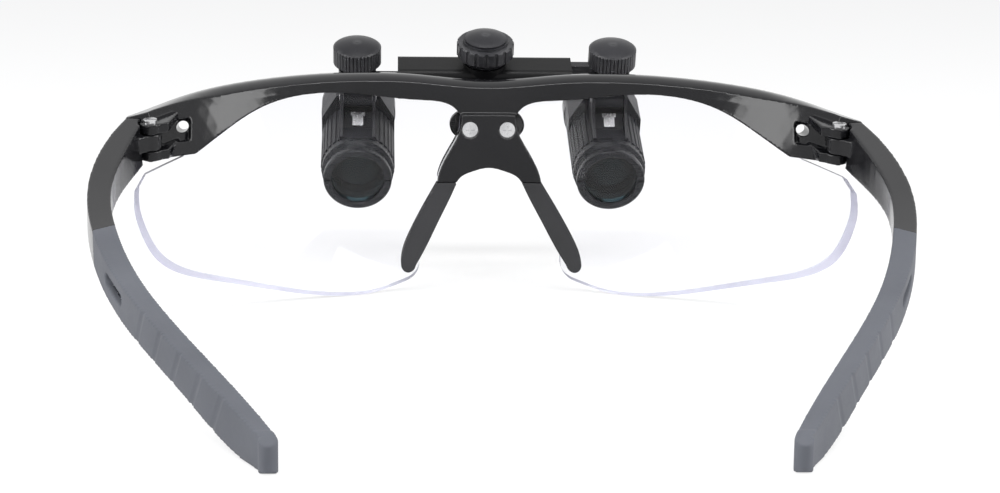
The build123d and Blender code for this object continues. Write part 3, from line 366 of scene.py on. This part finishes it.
def make_lens(side):
    """The lens with its polished faces clear and its sawn edge frosted."""
    mesh = frame["nodes"][f"lens_{side}"].data.copy()
    finished(f"lens_shield_{side}", mesh, CLEAR, f"lens_{side}")
    mesh.materials.append(EDGE)
    for polygon in mesh.polygons:
        towards = (polygon.center - WRAP_CENTRE).normalized()
        polygon.material_index = 1 if abs(towards.dot(polygon.normal)) < EDGE_DOT else 0
        polygon.use_smooth = True


# ---- light and stage -----------------------------------------------------------------------
LAMPS = (    # name, place, target, size, watts, seen in reflections
    ("overhead", (0.0, 0.16, 0.75), (0, 0, 0.02), (1.1, 0.16), 6, True),
    ("left_box", (0.75, 0.15, 0.35), (0, 0, 0.03), (0.25, 0.7), 4, True),
    ("right_box", (-0.75, 0.15, 0.35), (0, 0, 0.03), (0.25, 0.7), 4, True),
    ("fill", (0.1, 0.9, 0.55), (0, 0, 0.03), (0.6, 0.4), 2.5, False),
)
WORLD_COLOR, WORLD_LIGHT = (0.93, 0.95, 1.0), 0.45
FLOOR_HALF, FLOOR_DROP, FLOOR_GLOW = 6.0, 0.0001, 0.8


def lamp(name, place, target, size, power, mirrored):
    light = bpy.data.lights.new(name, "AREA")
    light.shape, light.size, light.size_y, light.energy = "RECTANGLE", size[0], size[1], power
    holder = bpy.data.objects.new(name, light)
    bpy.context.scene.collection.objects.link(holder)
    holder.visible_glossy = mirrored
    holder.location = place
    holder.rotation_euler = (Vector(target) - Vector(place)).to_track_quat("-Z", "Y").to_euler()


def seen_rays(nodes, links):
    """1 for rays that see the background directly, in a reflection or through glass."""
    rays = nodes.new("ShaderNodeLightPath")
    either = nodes.new("ShaderNodeMath")
    either.operation = "MAXIMUM"
    links.new(rays.outputs["Is Camera Ray"], either.inputs[0])
    links.new(rays.outputs["Is Transmission Ray"], either.inputs[1])
    every = nodes.new("ShaderNodeMath")
    every.operation = "MAXIMUM"
    links.new(either.outputs[0], every.inputs[0])
    links.new(rays.outputs["Is Glossy Ray"], every.inputs[1])
    return every.outputs[0]


def make_world():
    world = bpy.data.worlds.new("studio")
    bpy.context.scene.world = world
    world.use_nodes = True
    nodes, links = world.node_tree.nodes, world.node_tree.links
    lit = nodes["Background"]
    lit.inputs["Color"].default_value = (*WORLD_COLOR, 1)
    lit.inputs["Strength"].default_value = WORLD_LIGHT
    shown = nodes.new("ShaderNodeBackground")
    shown.inputs["Color"].default_value = (1, 1, 1, 1)
    mix = nodes.new("ShaderNodeMixShader")
    links.new(seen_rays(nodes, links), mix.inputs["Fac"])
    links.new(lit.outputs["Background"], mix.inputs[1])
    links.new(shown.outputs["Background"], mix.inputs[2])
    links.new(mix.outputs["Shader"], nodes["World Output"].inputs["Surface"])


def make_floor():
    mesh = bpy.data.meshes.new("floor")
    half = FLOOR_HALF
    corners = [(-half, -half, 0), (half, -half, 0), (half, half, 0), (-half, half, 0)]
    mesh.from_pydata(corners, [], [(0, 1, 2, 3)])
    floor = bpy.data.objects.new("floor", mesh)
    bpy.context.scene.collection.objects.link(floor)
    floor.location.z = -FLOOR_DROP
    material, nodes, links, shader = new_material("floor_paper")
    shader.inputs["Base Color"].default_value = (0.9, 0.9, 0.9, 1)
    shader.inputs["Roughness"].default_value = 0.9
    shader.inputs["Specular IOR Level"].default_value = 0.0
    glow = nodes.new("ShaderNodeEmission")
    share = nodes.new("ShaderNodeMath")
    share.operation = "MULTIPLY"
    share.inputs[1].default_value = FLOOR_GLOW
    links.new(seen_rays(nodes, links), share.inputs[0])
    mix = nodes.new("ShaderNodeMixShader")
    links.new(share.outputs[0], mix.inputs["Fac"])
    links.new(shader.outputs["BSDF"], mix.inputs[1])
    links.new(glow.outputs["Emission"], mix.inputs[2])
    links.new(mix.outputs["Shader"], nodes["Material Output"].inputs["Surface"])
    dress(floor, material)


def main():
    for node, piece in frame["nodes"].items():
        stem = node.rsplit("_", 1)[0] if node.endswith(("_left", "_right")) else node
        dress(piece, NODE_MATERIALS[stem])
    make_front()
    for side, sign in SIDES:
        make_temple(side, sign)
        make_pad(side)
        make_lens(side)
    make_floor()
    make_world()
    for values in LAMPS:
        lamp(*values)
    place_camera()
    bpy.context.scene.view_settings.view_transform = "Standard"


main()
